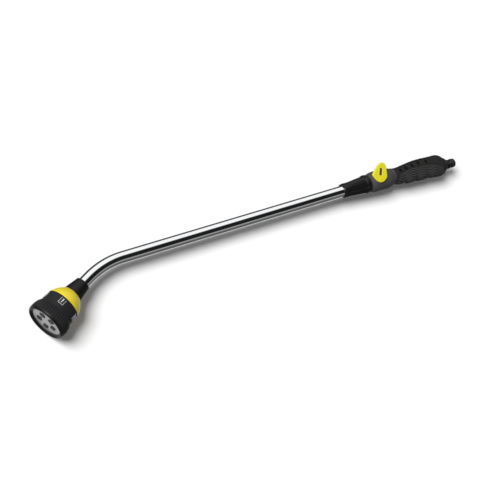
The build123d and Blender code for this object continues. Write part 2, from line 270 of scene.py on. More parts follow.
def handling_group():
    """Slight smudges and settled dust: they shift a part's colour and its gloss."""
    tree, inside, outside = new_group(
        "handling",
        [("Color", "NodeSocketColor", (1, 1, 1, 1)), ("Dust", "NodeSocketColor", (0.14, 0.14, 0.135, 1)),
         ("Dust amount", "NodeSocketFloat", 0.05), ("Roughness", "NodeSocketFloat", 0.4),
         ("Spread", "NodeSocketFloat", 0.1)],
        [("Color", "NodeSocketColor"), ("Roughness", "NodeSocketFloat")])
    smudge = noise(tree, 42.0, 5.0)
    specks = noise(tree, 900.0, 3.0)
    settled_dust = maths(tree, "MULTIPLY", maths(tree, "MULTIPLY", smudge, specks), 2.6)
    mix = tree.nodes.new("ShaderNodeMix")
    mix.data_type = "RGBA"
    tree.links.new(maths(tree, "MULTIPLY", settled_dust, inside.outputs["Dust amount"]), mix.inputs["Factor"])
    tree.links.new(inside.outputs["Color"], mix.inputs["A"])
    tree.links.new(inside.outputs["Dust"], mix.inputs["B"])
    tree.links.new(mix.outputs["Result"], outside.inputs["Color"])
    swing = maths(tree, "MULTIPLY", maths(tree, "SUBTRACT", smudge, 0.5), inside.outputs["Spread"])
    tree.links.new(maths(tree, "ADD", swing, inside.outputs["Roughness"]), outside.inputs["Roughness"])
    return tree


def hairline_group():
    """Hairlines that run along one axis, as a height and a change of gloss."""
    tree, inside, outside = new_group(
        "hairlines",
        [("Roughness", "NodeSocketFloat", 0.1), ("Spread", "NodeSocketFloat", 0.05)],
        [("Roughness", "NodeSocketFloat"), ("Height", "NodeSocketFloat")])
    lines = noise(tree, 1.0, 3.0, (12.0, 1500.0, 1500.0))
    swing = maths(tree, "MULTIPLY", maths(tree, "SUBTRACT", lines, 0.5), inside.outputs["Spread"])
    tree.links.new(maths(tree, "ADD", swing, inside.outputs["Roughness"]), outside.inputs["Roughness"])
    tree.links.new(lines, outside.inputs["Height"])
    return tree


def shared_group(name, maker):
    """The named shader group, made the first time that it is asked for."""
    return bpy.data.node_groups.get(name) or maker()


# ---- finishes ----------------------------------------------------------------

FINISH_PREFIX = "wand_"        # keeps the finishes apart from the frame's own plain materials


def bare_material(name, **uniform):
    """Principled material with its uniform values set on the shader itself."""
    material = bpy.data.materials.new(FINISH_PREFIX + name)
    material.use_nodes = True
    shader = material.node_tree.nodes["Principled BSDF"]
    for label, value in uniform.items():
        shader.inputs[label.replace("_", " ")].default_value = value
    return material, material.node_tree, shader


def add_group(tree, group, **values):
    """Place a shader group in a material with its own values."""
    node = tree.nodes.new("ShaderNodeGroup")
    node.node_tree = group
    for label, value in values.items():
        node.inputs[label.replace("_", " ")].default_value = value
    return node


def add_bump(tree, height, shader, distance, strength=1.0):
    """Feed a height into the shader's normal."""
    bump = tree.nodes.new("ShaderNodeBump")
    bump.inputs["Strength"].default_value = strength
    bump.inputs["Distance"].default_value = distance
    tree.links.new(height, bump.inputs["Height"])
    tree.links.new(bump.outputs["Normal"], shader.inputs["Normal"])


def moulded(name, colour, roughness, grains=2500.0, depth=0.00002, dust=0.05, spread=0.1, **uniform):
    """Moulded plastic or rubber: grain in its surface, a little dust and uneven gloss."""
    material, tree, shader = bare_material(name, **uniform)
    grain = add_group(tree, shared_group("moulded_grain", moulded_grain_group),
                      Grains_per_metre=grains, Depth=1.0)
    add_bump(tree, grain.outputs["Height"], shader, depth)
    marks = add_group(tree, shared_group("handling", handling_group), Color=(*colour, 1),
                      Dust_amount=dust, Roughness=roughness, Spread=spread)
    tree.links.new(marks.outputs["Color"], shader.inputs["Base Color"])
    tree.links.new(marks.outputs["Roughness"], shader.inputs["Roughness"])
    return material


def soft(name, colour, roughness, depth, shade):
    """Soft grip rubber: matt, dusty on its high parts, with painted shade that darkens its colour where its surface
    is hollow.
    """
    material = moulded(name, colour, roughness, 3200.0, depth, 0.05, 0.12, Specular_IOR_Level=0.06)
    tree = material.node_tree
    shader = tree.nodes["Principled BSDF"]
    clean = shader.inputs["Base Color"].links[0].from_socket
    # painted shade: the hollow attribute mixes in a darker colour in the dimples, between the pad ribs and along the
    # pads' rims
    hollow = tree.nodes.new("ShaderNodeAttribute")
    hollow.attribute_name = "hollow"
    mix = tree.nodes.new("ShaderNodeMix")
    mix.data_type = "RGBA"
    tree.links.new(hollow.outputs["Fac"], mix.inputs["Factor"])
    tree.links.new(clean, mix.inputs["A"])
    # colour of the painted shade in the hollows
    mix.inputs["B"].default_value = (*(shade * c for c in colour), 1)
    tree.links.new(mix.outputs["Result"], shader.inputs["Base Color"])
    return material


def plated(name, colour, roughness, spread, depth, **uniform):
    """Polished or drawn metal with faint hairlines."""
    material, tree, shader = bare_material(name, Metallic=1.0, **uniform)
    lines = add_group(tree, shared_group("hairlines", hairline_group), Roughness=roughness, Spread=spread)
    tree.links.new(lines.outputs["Roughness"], shader.inputs["Roughness"])
    add_bump(tree, lines.outputs["Height"], shader, depth)
    marks = add_group(tree, shared_group("handling", handling_group), Color=(*colour, 1), Dust_amount=0.02)
    tree.links.new(marks.outputs["Color"], shader.inputs["Base Color"])
    return material


def face_finish(name, colour):
    """Silver lacquer on the spray face, with fine turned rings about the head's axis."""
    material, tree, shader = bare_material(name, Metallic=0.75, Coat_Weight=0.25, Coat_Roughness=0.12)
    place = tree.nodes.new("ShaderNodeTexCoord").outputs["Object"]
    mapping = tree.nodes.new("ShaderNodeMapping")
    mapping.inputs["Location"].default_value = HEAD.inverted().to_translation()
    mapping.inputs["Rotation"].default_value = HEAD.inverted().to_euler()
    tree.links.new(place, mapping.inputs["Vector"])
    rings = tree.nodes.new("ShaderNodeTexWave")
    rings.wave_type = "RINGS"
    rings.rings_direction = "Z"
    rings.inputs["Scale"].default_value = 420.0
    rings.inputs["Distortion"].default_value = 0.6
    tree.links.new(mapping.outputs["Vector"], rings.inputs["Vector"])
    add_bump(tree, rings.outputs["Fac"], shader, 0.000012)
    marks = add_group(tree, shared_group("handling", handling_group), Color=(*colour, 1),
                      Dust_amount=0.04, Roughness=0.34, Spread=0.16)
    tree.links.new(marks.outputs["Color"], shader.inputs["Base Color"])
    tree.links.new(marks.outputs["Roughness"], shader.inputs["Roughness"])
    return material


def make_finishes(colours):
    """Every finish of the wand, named after its slot in the record."""
    black, yellow = tuple(colours.black), tuple(colours.yellow)
    grip, grey = tuple(colours.grip), tuple(colours.marking)
    plated("chrome_tube", (0.92, 0.93, 0.94), 0.07, 0.05, 0.000001)
    plated("steel", (0.62, 0.62, 0.60), 0.28, 0.12, 0.000004)
    moulded("black_gloss", black, 0.3, 1500.0, 0.000006, 0.02, 0.1,
            Specular_IOR_Level=0.22)
    moulded("black_plastic", tuple(3 * c for c in black), 0.42, 2600.0, 0.00002, 0.03, 0.12,
            Specular_IOR_Level=0.09)
    moulded("valve_plastic", tuple(9 * c for c in black), 0.62, 2200.0,
            0.00004, 0.09, 0.08, Specular_IOR_Level=0.15)
    moulded("yellow_plastic", yellow, 0.33, 1800.0, 0.000008, 0.02, 0.1,
            Subsurface_Weight=0.06, Subsurface_Scale=0.002,
            Coat_Weight=0.25, Coat_Roughness=0.15)
    moulded("cone_yellow", (1.1 * yellow[0], 0.98 * yellow[1], 0.5 * yellow[2]), 0.36, 1800.0,
            0.000008, 0.03, 0.1, Subsurface_Weight=0.06, Subsurface_Scale=0.002,
            Coat_Weight=0.12, Coat_Roughness=0.2)
    face_finish("silver_face", (0.36, 0.365, 0.365))
    moulded("pattern_grey", grey, 0.3, 1800.0, 0.000006, 0.03, 0.1)
    moulded("pattern_pad", black, 0.16, 1800.0, 0.000004, 0.03, 0.08, Coat_Weight=0.5)
    moulded("dark_inlay", (0.07, 0.055, 0.03), 0.35, 1600.0, 0.00001, 0.04)
    # the last value of each soft finish is the painted shade's share of the colour in its hollows
    soft("soft_grip", grip, 0.66, 0.00005, 0.1)
    soft("grip_ribs", tuple(3.6 * c for c in grip), 0.58, 0.00003, 0.3)
    moulded("seal_rubber", (0.012, 0.012, 0.012), 0.5, 2600.0, 0.00001, 0.04)
    moulded("inner_grey", (0.12, 0.125, 0.13), 0.45, 2200.0, 0.00001, 0.02)
    moulded("seat_white", (0.78, 0.78, 0.75), 0.36, 1600.0, 0.000005, 0.01)


# Finishes of the frame's own parts, which keep the shape that they come with.
FRAME_FINISHES = {
    "inner_grey": ("head_body", "turret_disc", "handle_core", "tube_bush", "seat_retainer", "clamp_olive"),
    "seal_rubber": ("collar_o_ring", "head_o_ring", "port_seal", "tube_o_ring", "spindle_o_rings",
                    "core_o_ring", "spigot_o_ring"),
    "seat_white": ("seat_front", "seat_rear"),
    "steel": ("seal_spring", "click_ball", "click_spring", "pivot_washer", "pivot_screw",
              "lever_screw", "inlet_strainer", "valve_ball", "lever_spindle"),
    "black_plastic": ("jet_insert", "cone_insert", "mist_insert", "flat_insert", "shower_insert"),
    "silver_face": ("face_plate",),
}


def paint_frame_parts():
    """Give each part that shows as it comes its own finish."""
    for slot, names in FRAME_FINISHES.items():
        for name in names:
            mesh = frame["nodes"][name].data
            mesh.materials.clear()
            mesh.materials.append(finish(slot))


def finish(name):
    """Material made by the finishes operator."""
    material = bpy.data.materials.get(FINISH_PREFIX + name)
    if material is None:
        raise RuntimeError("the finishes come before the pieces: " + name)
    return material


# ---- tube --------------------------------------------------------------------

def drawn_out(bm, loop, move):
    """Extrude a loop of edges by a vector: the new loop's vertices and edges."""
    run = bmesh.ops.extrude_edge_only(bm, edges=loop)["geom"]
    ends = [item for item in run if isinstance(item, bmesh.types.BMVert)]
    bmesh.ops.translate(bm, vec=move, verts=ends)
    rim = [item for item in run if isinstance(item, bmesh.types.BMEdge) and all(vert in ends for vert in item.verts)]
    return ends, rim


def build_lance_tube(sizes):
    """Chrome tube: a long straight, one bend and a short stub into the head."""
    bend = radians(27)
    straight, socket, stub = 445 * MM, 42 * MM, 34 * MM
    rim_span = 6 * MM          # a short first span keeps the end's rim out of the long one's shading
    hinge = WAND @ Vector((-sizes.bend_radius, 0, -straight))
    bm = bmesh.new()
    start = WAND @ Matrix.Translation((0, 0, socket))
    made = bmesh.ops.create_circle(bm, segments=96, radius=sizes.tube_radius, matrix=start)
    loop = list({edge for vert in made["verts"] for edge in vert.link_edges})
    for reach in (rim_span, straight + socket - rim_span):
        ends, loop = drawn_out(bm, loop, Vector((-reach, 0, 0)))
    curve = bmesh.ops.spin(bm, geom=ends + loop, cent=hinge, axis=(0, 0, 1), angle=bend, steps=30)
    last = [item for item in curve["geom_last"] if isinstance(item, bmesh.types.BMEdge)]
    for reach in (stub - 4 * MM, 4 * MM):
        ends, last = drawn_out(bm, last, HEAD.to_3x3() @ Vector((0, 0, reach)))
    settled(bm, Matrix.Identity(4))
    tube = piece(bm, "lance_tube_skin", "wand", finish("chrome_tube"), ("lance_tube",), crease=60)
    wall = tube.modifiers.new("wall", "SOLIDIFY")
    wall.thickness = sizes.tube_wall
    wall.offset = -1


# ---- spray head --------------------------------------------------------------

def build_collar_nut(sizes):
    """Black tapered nut with a rounded shoulder at the tube."""
    shoulder = arc((10.05, 13.0), (12.4, 13.1), (12.9, 15.4), 6)
    profile = [*shoulder, (15.4, 30.0), (16.7, 38.6), (16.5, 39.4), (12.4, 39.4), (12.4, 21.0), (10.05, 21.0)]
    bm = turned(softened(profile, 0.5, 3), HEAD)
    piece(bm, "collar_nut_skin", "wand", finish("black_gloss"), ("collar_nut",))


def build_head_cone(sizes):
    """Yellow bell-shaped cover with a fine lip at its wide end."""
    outer = arc((16.8, 39.55), (24.7, 49.6), (29.35, 60.6), 18)
    inner = arc((27.8, 60.6), (23.1, 49.9), (15.2, 39.55), 18)
    profile = [*outer, (29.4, 61.0), (29.4, 61.6), (27.8, 61.6), *inner]
    bm = turned(softened(profile, 0.35, 3), HEAD, 128)
    piece(bm, "head_cone_skin", "wand", finish("cone_yellow"), ("head_cone",))


def build_selector_ring(sizes):
    """Rotating ring: smooth band behind, then a step to a barrel-shaped front with ribs."""
    rib_start, rib_end = 83.6 * MM, 101.2 * MM
    crests = sizes.rib_count

    def ribbed(reach, angle, station):
        if reach > 30.6 * MM:
            rise = smooth_step(rib_start, rib_start + 1.2 * MM, station)
            fall = 1 - smooth_step(rib_end - 2.4 * MM, rib_end - 1.0 * MM, station)
            hollow = (0.5 - 0.5 * cos(crests * angle)) ** 3
            reach -= sizes.rib_depth * hollow * rise * fall
        return Vector((reach * cos(angle), reach * sin(angle), station))

    ribs = arc((32.3, 84.2), (34.3, 92.0), (34.3, 101.2), 34)
    profile = [(25.9, 61.3), (29.2, 61.3), (30.0, 62.1), (30.0, 80.0), (30.15, 82.0), (30.7, 82.6),
               (31.9, 83.4), *ribs, (34.4, 101.4), (28.55, 101.4), (28.55, 66.0), (25.95, 66.0)]
    bm = turned(softened(profile, 0.3, 2), HEAD, crests * 10, ribbed)
    piece(bm, "selector_ring_skin", "selector", finish("black_plastic"), ("selector_ring",))


def build_face_bezel(sizes):
    """Glossy front rim with a rolled lip and a fine step inside it."""
    side = arc((34.35, 101.45), (34.1, 102.8), (33.0, 104.4), 6)
    lip = arc((32.8, 104.6), (31.6, 105.4), (30.5, 104.5), 6)
    profile = [*side, *lip, (29.7, 103.6), (29.0, 103.3), (28.2, 102.5), (27.6, 102.3), (27.2, 101.55),
               (29.5, 101.45)]
    bm = turned(softened(profile, 0.25, 3), HEAD, 144)
    piece(bm, "face_bezel_skin", "selector", finish("black_gloss"), ("face_bezel",))


def spray_angles(first):
    """Five even angles about the head's axis."""
    return [radians(first + 72 * i) for i in range(5)]


def at_spray(angle, radius):
    """Place on the spray face at an angle about the head's axis."""
    return HEAD @ Matrix.Rotation(angle, 4, "Z") @ Matrix.Translation((radius * MM, 0, 0))


def build_window_frames(sizes):
    """Square black frame with rounded corners around each spray window."""
    whole = bmesh.new()
    for angle in spray_angles(SPRAY_TURN):
        bm = bmesh.new()
        sections = [(4.7, 4.7, 101.4), (4.7, 4.7, 102.2), (4.4, 4.4, 102.5), (3.1, 3.1, 102.5),
                    (2.7, 2.7, 102.1), (2.7, 2.7, 101.4)]
        stack_in_mm(bm, sections, closed=True)
        settled(bm, at_spray(angle, SPRAY_REACH))
        join(whole, bm)
    piece(whole, "window_frames", "selector", finish("black_gloss"), ())


def build_spray_tips(sizes):
    """Grey filter tip in the two fine-spray windows."""
    whole = bmesh.new()
    for angle in spray_angles(SPRAY_TURN)[1:3]:
        bm = bmesh.new()
        sections = [(1.5, 1.5, 101.9), (1.5, 1.5, 102.5), (1.2, 1.2, 102.7)]
        stack_in_mm(bm, sections)
        settled(bm, at_spray(angle, SPRAY_REACH))
        join(whole, bm)
    piece(whole, "spray_tips", "selector", finish("inner_grey"), ())


def join(whole, bm):
    """Add one finished mesh to another."""
    mesh = bpy.data.meshes.new("part")
    bm.to_mesh(mesh)
    bm.free()
    whole.from_mesh(mesh)
    bpy.data.meshes.remove(mesh)


def wrapped_block(bm, left, right, back, front, low, high, narrow=1.0):
    """Thin block bent round the band: across, along and height in millimetres; narrow tapers its front."""
    made = bmesh.ops.create_cube(bm, size=1.0)
    edges = list({edge for vert in made["verts"] for edge in vert.link_edges})
    across = [edge for edge in edges if abs(edge.verts[0].co.x - edge.verts[1].co.x) > 0.5]
    bmesh.ops.subdivide_edges(bm, edges=across, cuts=8, use_grid_fill=True)
    middle = (left + right) / 2
    for vert in bm.verts:
        x = middle + vert.co.x * (right - left) * (narrow if vert.co.y > 0 else 1.0)
        station = back + (vert.co.y + 0.5) * (front - back)
        reach = BAND_REACH + low + (vert.co.z + 0.5) * (high - low)
        turn = x / BAND_REACH
        vert.co = Vector((reach * cos(turn), reach * sin(turn), station)) * MM


def mark_bars(kind):
    """Glyph of one pattern, as (left, right, back, front, narrow) bars."""
    dots = [(x - 0.55, x + 0.55, s - 0.55, s + 0.55, 1.0) for x in (-1.8, 0, 1.8) for s in (67.0, 69.5, 72.0)]
    glyphs = [
        [(-0.9, 0.9, 65.5, 72.4, 0.3)],
        [(-2.6, -1.8, 65.5, 72.4, 1.0), (-0.4, 0.4, 65.5, 72.4, 1.0), (1.8, 2.6, 65.5, 72.4, 1.0)],
        dots[::2],
        [(-2.8, 2.8, 67.0, 68.2, 1.0), (-2.8, 2.8, 70.2, 71.4, 1.0)],
        dots,
    ]
    return glyphs[kind]


def build_pattern_marks(sizes):
    """Five raised pads on the band, each with an open frame and a simple glyph."""
    pads, marks = bmesh.new(), bmesh.new()
    frame_bars = [(-4.7, 4.7, 74.6, 75.0, 1.0), (-4.7, -4.3, 64.4, 75.0, 1.0), (4.3, 4.7, 64.4, 75.0, 1.0)]
    for kind, angle in enumerate(spray_angles(MARK_TURN)[1:] + spray_angles(MARK_TURN)[:1]):
        turn = HEAD @ Matrix.Rotation(angle, 4, "Z")
        bm = bmesh.new()
        wrapped_block(bm, -5.5, 5.5, 63.4, 75.8, -0.3, 0.25)
        join(pads, settled(bm, turn))
        for left, right, back, front, narrow in frame_bars + mark_bars(kind):
            bm = bmesh.new()
            wrapped_block(bm, left, right, back, front, 0.2, 0.5, narrow)
            join(marks, settled(bm, turn))
    piece(pads, "pattern_pads", "selector", finish("pattern_pad"), ("pattern_icons",),
          bevel=0.15 * MM)
    piece(marks, "pattern_marks", "selector", finish("pattern_grey"), ())


# ---- ferrule, valve and lever ------------------------------------------------

def build_ferrule_nut(sizes):
    """Conical union nut: smooth ring, long flat grip panels with grooves between, plain rear ring."""
    count = sizes.panel_count
    sector = tau / count

    def panelled(reach, angle, station):
        if reach > 12.3 * MM:
            zone = smooth_step(9.2 * MM, 10.8 * MM, station) * (1 - smooth_step(46 * MM, 48.5 * MM, station))
            turn = (angle + sector / 2) % sector - sector / 2
            flat = cos(sector / 2) / cos(turn)
            reach *= 1 + (flat - 1) * 0.65 * zone
            gap = sector / 2 - abs(turn)
            groove = 1 - smooth_step(0.6 * MM, 1.5 * MM, gap * reach)
            reach -= 1.5 * MM * groove * zone
        return Vector((reach * cos(angle), reach * sin(angle), station))

    cone = [(12.9 + 3.3 * (i / 30), 9 + 39 * (i / 30)) for i in range(31)]
    profile = [(10.05, 0.0), (11.2, 0.0), (12.3, 0.9), (12.7, 2.4), (12.9, 8.4), *cone, (16.6, 49.0),
               (16.8, 50.2), (16.8, 53.2), (16.0, 53.6), (16.0, 56.0), (15.4, 56.4), (12.2, 56.4), (12.2, 14.0),
               (10.05, 14.0)]
    bm = turned(softened(profile, 0.4, 3), WAND, count * 28, panelled)
    piece(bm, "ferrule_nut_skin", "wand", finish("black_gloss"), ("ferrule_nut",))


def build_valve_housing(sizes):
    """Matt valve body: round shoulder behind the ferrule, bulge under the lever, slot before the grip."""

    def slotted(reach, angle, station):
        if reach > 14 * MM:
            lever_side = smooth_step(0.25, 0.55, cos(angle))
            slot = exp(-((station - 109.2 * MM) / (1.2 * MM)) ** 2)
            reach -= 2.6 * MM * slot * lever_side
        return Vector((reach * cos(angle), reach * sin(angle), station))

    bulge = arc((15.0, 59.7), (17.6, 66.0), (18.3, 79.0), 12)
    rear = arc((18.3, 90.0), (18.1, 99.0), (15.6, 107.0), 12)
    tail = [(15.6 - 1.2 * (i / 12), 107.3 + 5.7 * (i / 12)) for i in range(13)]
    profile = [(10.05, 24.0), (12.15, 24.0), (12.15, 56.8), (13.4, 56.8), (13.4, 59.2), *bulge, *rear, *tail,
               (12.0, 113.0), (12.0, 62.0), (8.1, 62.0), (8.1, 42.0), (10.05, 42.0)]
    bm = turned(softened(profile, 0.4, 2), WAND, 144, slotted)
    piece(bm, "valve_housing_skin", "wand", finish("valve_plastic"), ("valve_housing",))


def lever_outline():
    """Side of the lever about its pivot, in millimetres."""
    foot = arc((-15.2, 5.4), (0.2, -4.9), (13.8, 4.6), 16)
    rear = arc((14.3, 6.0), (13.8, 15.0), (12.5, 24.0), 6)
    top = arc((12.0, 25.6), (5.2, 31.2), (-3.7, 26.8), 12)
    slope = arc((-5.0, 25.2), (-10.2, 18.3), (-15.3, 9.8), 6)
    return [*foot, *rear, *top, *slope, (-16.1, 8.0), (-16.1, 6.7)]


def build_flow_lever(sizes):
    """Yellow paddle: a flat back, a raised rim round its face and a slightly sunken field."""
    back, face = LEVER_BACK, sizes.lever_face
    bm = bmesh.new()
    bm.faces.new([bm.verts.new((x * MM, y * MM, back)) for x, y in lever_outline()])
    bmesh.ops.recalc_face_normals(bm, faces=bm.faces)
    body = bmesh.ops.extrude_face_region(bm, geom=bm.faces[:], use_keep_orig=True)["geom"]
    raised = [item for item in body if isinstance(item, bmesh.types.BMVert)]
    bmesh.ops.translate(bm, vec=(0, 0, face - back), verts=raised)
    front = [item for item in body if isinstance(item, bmesh.types.BMFace)]
    bmesh.ops.recalc_face_normals(bm, faces=bm.faces)
    bmesh.ops.inset_region(bm, faces=front, thickness=sizes.lever_edge, use_even_offset=True)
    slope = list({vert for item in front for vert in item.verts})
    bmesh.ops.translate(bm, vec=(0, 0, 0.9 * MM), verts=slope)
    bmesh.ops.inset_region(bm, faces=front, thickness=0.9 * MM, use_even_offset=True)
    bmesh.ops.inset_region(bm, faces=front, thickness=0.5 * MM, use_even_offset=True)
    field = list({vert for item in front for vert in item.verts})
    bmesh.ops.translate(bm, vec=(0, 0, -0.25 * MM), verts=field)
    settled(bm, LEVER)
    piece(bm, "flow_lever_skin", "lever", finish("yellow_plastic"), ("flow_lever",),
          bevel=0.35 * MM)


def build_lever_badge(sizes):
    """Plain dark inlay on the lever's face, between two fine ridges, and the cap of its screw."""
    level = sizes.lever_face / MM + 0.55
    place = LEVER @ Matrix.Translation((0.2 * MM, 14 * MM, 0)) @ Matrix.Rotation(radians(-8), 4, "Z")
    inlay = bmesh.new()
    stack_in_mm(inlay, [(2.6, 6.7, level - 0.6), (2.6, 6.7, level + 0.1), (2.3, 6.4, level + 0.3)], 8.0)
    piece(settled(inlay, place), "lever_inlay", "lever", finish("dark_inlay"), ("lever_badge",))
    ridges = bmesh.new()
    for shift in (-3.9, 3.9):
        bm = bmesh.new()
        stack_in_mm(bm, [(0.4, 7.6, level - 0.6), (0.4, 7.6, level + 0.15), (0.15, 7.3, level + 0.4)], 8.0)
        join(ridges, settled(bm, place @ Matrix.Translation((shift * MM, 0, 0))))
    piece(ridges, "lever_ridges", "lever", finish("yellow_plastic"), ())
    cap = bmesh.new()
    stack_in_mm(cap, [(3.0, 3.0, level - 0.8), (3.0, 3.0, level), (2.7, 2.7, level + 0.2)], 2.0)
    piece(settled(cap, LEVER), "screw_cap_skin", "lever", finish("yellow_plastic"), ("screw_cap",))


# ---- grip --------------------------------------------------------------------

# station, top, bottom and half width of the grip, in millimetres, as in the frame
GRIP_SECTIONS = ((113.3, 13.8, -14.0, 14.0), (125, 13.2, -17.6, 15.0), (142, 14.8, -20.0, 15.8),
                 (170, 16.8, -21.5, 16.0), (200, 15.6, -23.2, 16.0), (217, 14.6, -24.6, 15.8),
                 (226, 9.6, -21.6, 14.0))
PAD_ARCH = ((113.6, -22), (116, -10), (125, 0.5), (152, 4.4), (184, 2.4), (205, -1.5), (216, -10), (221, -24))
PAD_EDGE = 4.0                 # half width of the strip left between the pads below
FINGER_HOLLOWS = (134.0, 159.0, 188.0)
FINGER_CENTRES = [(117.0, -27.0), (147.0, -27.0), (173.0, -28.0), (198.0, -26.0)]
LARGE_DIMPLES = [(126, 6.0), (139, 7.2), (153, 8.8), (168, 9.6), (185, 8.2)]


@lru_cache(maxsize=None)
def along(table, station, column):
    """Smooth value of one column of a table at a station."""
    rows = table
    if station <= rows[0][0]:
        return rows[0][column]
    for i in range(len(rows) - 1):
        if station <= rows[i + 1][0]:
            before, after = rows[max(i - 1, 0)], rows[min(i + 2, len(rows) - 1)]
            here, there = rows[i], rows[i + 1]
            span = there[0] - here[0]
            slope_a = (there[column] - before[column]) / (there[0] - before[0]) * span
            slope_b = (after[column] - here[column]) / (after[0] - here[0]) * span
            t = (station - here[0]) / span
            return ((2 * t ** 3 - 3 * t * t + 1) * here[column] + (t ** 3 - 2 * t * t + t) * slope_a
                    + (3 * t * t - 2 * t ** 3) * there[column] + (t ** 3 - t * t) * slope_b)
    return rows[-1][column]


def grip_point(station, angle, sunk=0.0, power=2.35):
    """Point of the plain grip in wand space, in millimetres: angle 0 is the top edge."""
    top, low = along(GRIP_SECTIONS, station, 1), along(GRIP_SECTIONS, station, 2)
    half = along(GRIP_SECTIONS, station, 3)
    notch = sum(exp(-((station - hollow) / 4.2) ** 2) for hollow in FINGER_HOLLOWS)
    under = max(-cos(angle), 0) ** 1.5
    low += 2.6 * notch * under
    c, s = cos(angle), sin(angle)
    stretch = (abs(c) ** power + abs(s) ** power) ** (-1 / power)
    tall = (top - low) / 2
    return Vector(((top + low) / 2 + (tall - sunk) * c * stretch, (half - sunk) * s * stretch, station))


def dimple_rows():
    """Centres of the grip's dimples, as (station, height, radius), on one side."""
    large = [(x, y, 3.4) for x, y in LARGE_DIMPLES]
    small = [(118.0 + 7.6 * i, 11.6 + 3.0 * sin(pi * i / 12), 2.1) for i in range(11)]
    return large + small


def dimple_depth(point, rows):
    """How far the surface sinks into a dimple at a point."""
    depth = 0.0
    for station, height, radius in rows:
        if abs(point.z - station) < radius and abs(point.x - height) < radius:
            away = hypot(point.z - station, point.x - height) / radius
            depth = max(depth, 0.85 * radius * (1 - away ** 3) if away < 1 else 0)
    return depth


def crest_depth(point):
    """Small hollows along the very top of the grip."""
    away = hypot((point.z - 119) % 8.0 - 4.0, point.y * 0.32) / 2.5
    if point.x > 8 and 117 < point.z < 207 and away < 1:
        return 1.8 * (1 - away ** 3)
    return 0.0


def pad_inset(point):
    """1 well inside the side pad's arch and 0 outside it, in wand space."""
    if not PAD_ARCH[0][0] < point.z < PAD_ARCH[-1][0] or abs(point.y) < PAD_EDGE - 1:
        return 0.0
    edge = along(PAD_ARCH, point.z, 1)
    return smooth_step(-0.6, 0.6, edge - point.x) * smooth_step(PAD_EDGE - 1, PAD_EDGE + 1, abs(point.y))


def build_grip_sleeve(sizes):
    """Soft sleeve: dimpled back, finger hollows below, a bed for each side pad, fine ribs at the rear."""
    rows = dimple_rows()
    start, end = 113.5, 226.0
    count = 190
    stations = [start + (end - start) * i / count for i in range(count + 1)]

    def shaped(angle, station):
        station /= MM
        plain = grip_point(station, angle)
        centre = grip_point(station, angle, 4.0)
        inward = (centre - plain).normalized()
        dimple = max(dimple_depth(plain, rows), crest_depth(plain))
        sink = dimple + 1.3 * pad_inset(plain)
        rear = smooth_step(192, 197, station) * (1 - smooth_step(214, 218, station)) * (1 - pad_inset(plain))
        sink += 0.28 * rear * (0.5 + 0.5 * cos(tau * station / 2.4)) * smooth_step(0, 6, plain.x)
        end_round = max(0.0, 1.6 - (station - start)) ** 2 * 0.5 + max(0.0, station - end + 2.6) ** 2 * 0.35
        place = plain + inward * (sink + end_round)
        # the second value is painted shade, darkest in the middle of each dimple and crest hollow
        return place * MM, min(dimple / 1.2, 1)

    bm = bmesh.new()
    # hollow holds painted shade for the dimples
    hollow = bm.verts.layers.float.new("hollow")
    verts = [bm.verts.new((MM, 0, s * MM)) for s in stations]
    edges = [bm.edges.new(pair) for pair in zip(verts, verts[1:])]
    bmesh.ops.spin(bm, geom=verts + edges, cent=(0, 0, 0), axis=(0, 0, 1), angle=tau, steps=220, use_merge=True)
    rims = [edge for edge in bm.edges if len(edge.link_faces) == 1]
    for vert in bm.verts:
        vert.co, vert[hollow] = shaped(atan2(vert.co.y, vert.co.x), vert.co.z)
    bmesh.ops.holes_fill(bm, edges=rims, sides=0)
    settled(bm, WAND)
    piece(bm, "grip_sleeve_skin", "wand", finish("soft_grip"), ("grip_sleeve",), crease=60)


def rib_height(point):
    """Finger-print ribs of the side pads: nested arches about each finger."""
    nearest = min(hypot((point.z - x) / 3.5, (point.x - y) / 4.2) for x, y in FINGER_CENTRES)
    return 0.5 + 0.5 * cos(tau * nearest)


def build_grip_pads(sizes):
    """Ribbed side pads that lie in their beds on both sides of the sleeve."""
    whole = bmesh.new()
    # hollow holds painted shade between the ribs and along the pads' rims
    hollow = whole.verts.layers.float.new("hollow")
    for side in (1, -1):
        grid = bmesh.ops.create_grid(whole, x_segments=220, y_segments=92, size=0.5)["verts"]
        for vert in grid:
            vert.co, vert[hollow] = pad_point(vert.co.x + 0.5, vert.co.y + 0.5, side, sizes)
        faces = list({face for vert in grid for face in vert.link_faces})
        skin = bmesh.ops.extrude_face_region(whole, geom=faces, use_keep_orig=True)["geom"]
        for vert in (item for item in skin if isinstance(item, bmesh.types.BMVert)):
            middle = Vector((-4 * MM, 0, vert.co.z))
            vert.co += (middle - vert.co).normalized() * 1.2 * MM
    settled(whole, WAND)
    piece(whole, "grip_pads_skin", "wand", finish("grip_ribs"), ("grip_pads",), crease=60)


def pad_point(u, v, side, sizes):
    """Point of a side pad and its painted shade: u runs along the grip and v from its lower edge up to the arch."""
    station = PAD_ARCH[0][0] + 0.3 + (PAD_ARCH[-1][0] - PAD_ARCH[0][0] - 0.6) * u
    arch = along(PAD_ARCH, station, 1) - 0.25
    upper, lower = angle_at_height(station, arch), angle_at_width(station, PAD_EDGE)
    angle = lower + (upper - lower) * v
    plain = grip_point(station, angle)
    inner = grip_point(station, angle, 4.0)
    outward = (plain - inner).normalized()
    rim = min(min(u, 1 - u) * 100, (1 - v) * 30, v * 30)
    edge = smooth_step(0.0, 2.2, rim)
    lift = -1.1 + 1.35 * edge + sizes.pad_rib * (rib_height(plain) - 1) * edge
    place = plain + outward * lift
    place.y *= side
    # the second value is painted shade: dark between the ribs and where the pad sinks into its bed
    return place * MM, max(1 - rib_height(plain), 1 - edge)


